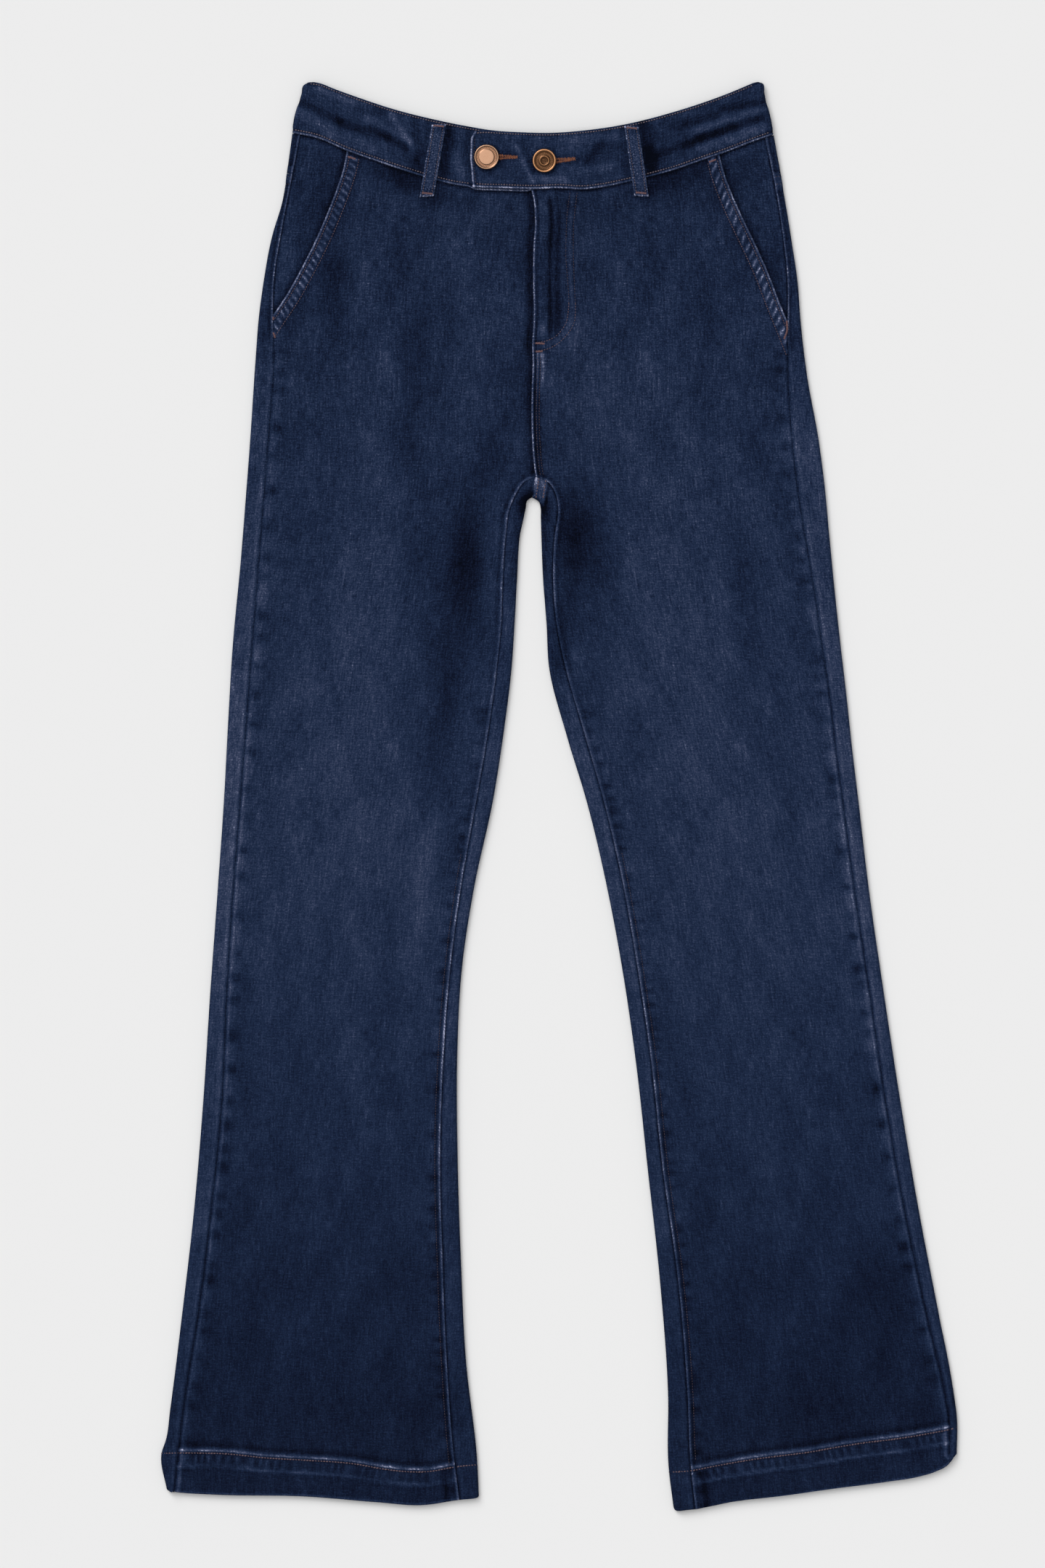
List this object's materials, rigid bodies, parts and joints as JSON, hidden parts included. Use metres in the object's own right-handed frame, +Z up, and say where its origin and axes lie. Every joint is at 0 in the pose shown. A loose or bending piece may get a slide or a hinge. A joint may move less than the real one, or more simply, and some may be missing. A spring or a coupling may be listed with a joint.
{
  "type": "flared jeans",
  "caption": "Pair of flared denim jeans laid flat with the front up, with shaped waistband, buttoned tab, slanted pockets, belt loops and wide hems.",
  "frame": {"origin": "under the middle of the whole outline, on the surface that the garment lies on", "axes": "+Y towards the waist, +X towards the wearer's left, +Z up, out of the garment's front"},
  "size_m": [0.6246, 1.1204, 0.0144],
  "materials": {
    "denim": "dark indigo stretch denim twill, softly worn at seams",
    "button_metal": "copper-plated brass",
    "zip_tape": "dark woven polyester tape",
    "thread": "russet polyester-cotton topstitching thread"
  },
  "bodies": {
    "root": {"front_right": "denim", "front_left": "denim", "pocket_facing_right": "denim", "pocket_facing_left": "denim", "back_right": "denim", "back_left": "denim", "back_yoke_right": "denim", "back_yoke_left": "denim", "waistband_right": "denim", "waistband_left": "denim", "belt_loop_front_right": "denim", "belt_loop_front_left": "denim", "belt_loop_back_right": "denim", "belt_loop_back_centre": "denim", "belt_loop_back_left": "denim", "button_outer": "button_metal", "button_centre": "button_metal", "zip": "zip_tape"}
  },
  "joints": []
}
